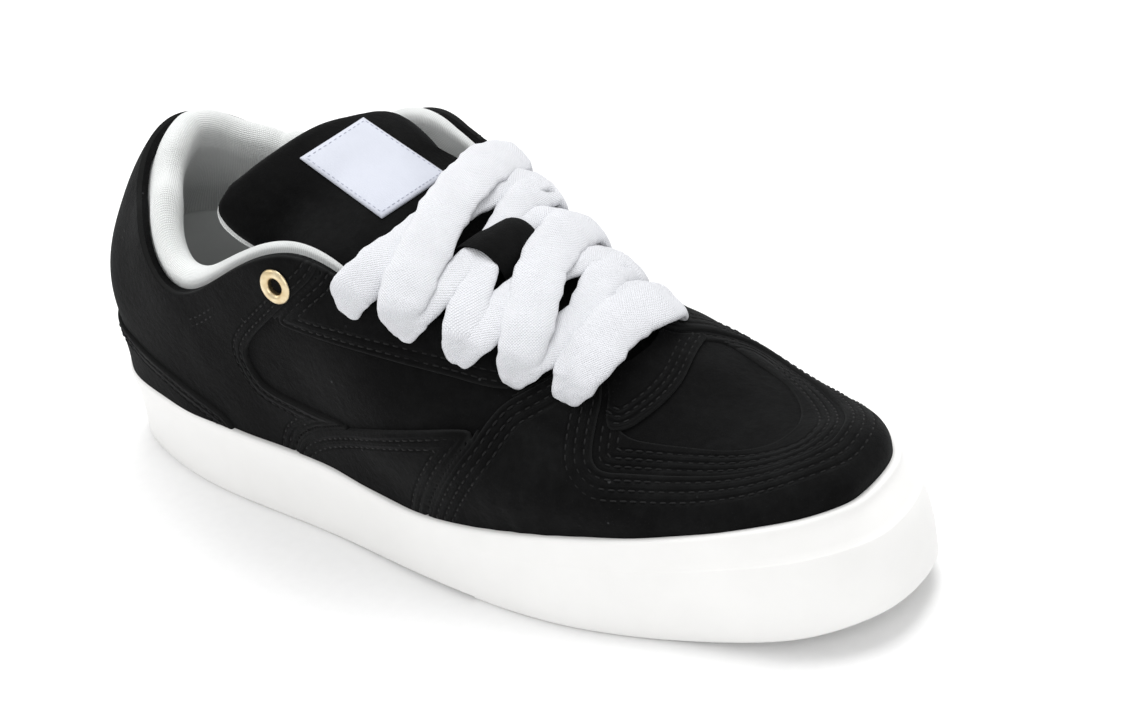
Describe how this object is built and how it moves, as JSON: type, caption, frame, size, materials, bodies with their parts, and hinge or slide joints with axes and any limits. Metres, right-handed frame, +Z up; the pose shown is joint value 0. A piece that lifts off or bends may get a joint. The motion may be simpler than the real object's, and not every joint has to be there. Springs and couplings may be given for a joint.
{
  "type": "skateboarding shoe",
  "caption": "Low right-foot skateboarding shoe with a white cup sole, black suede upper with raised panels, padded collar and tongue, wide flat laces and metal eyelets.",
  "frame": {"origin": "on the floor, under the middle of the shoe's length and width", "axes": "+X towards the toe, +Y towards the inner side of the foot, +Z up"},
  "size_m": [0.3007, 0.1053, 0.1193],
  "materials": {
    "white_rubber": "satin white rubber",
    "black_suede": "matte napped suede",
    "white_fabric": "smooth padded lining",
    "grey_fabric": "matte knitted",
    "lace_white": "soft woven cotton",
    "label_white": "woven label, stitched edge",
    "brass": "satin"
  },
  "bodies": {
    "root": {"cup_sole": "white_rubber", "insole": "grey_fabric", "upper": "black_suede", "toe_cap": "black_suede", "toe_band": "black_suede", "throat_strip": "black_suede", "eyestay_outer": "black_suede", "eyestay_inner": "black_suede", "arch_panel_outer": "black_suede", "arch_panel_inner": "black_suede", "quarter": "black_suede", "heel_counter": "black_suede", "collar_lining": "white_fabric", "tongue": "black_suede", "tongue_lining": "white_fabric", "tongue_label": "label_white", "lace_keeper": "black_suede", "laces": "lace_white", "eyelet_outer": "brass", "eyelet_inner": "brass"}
  },
  "joints": []
}
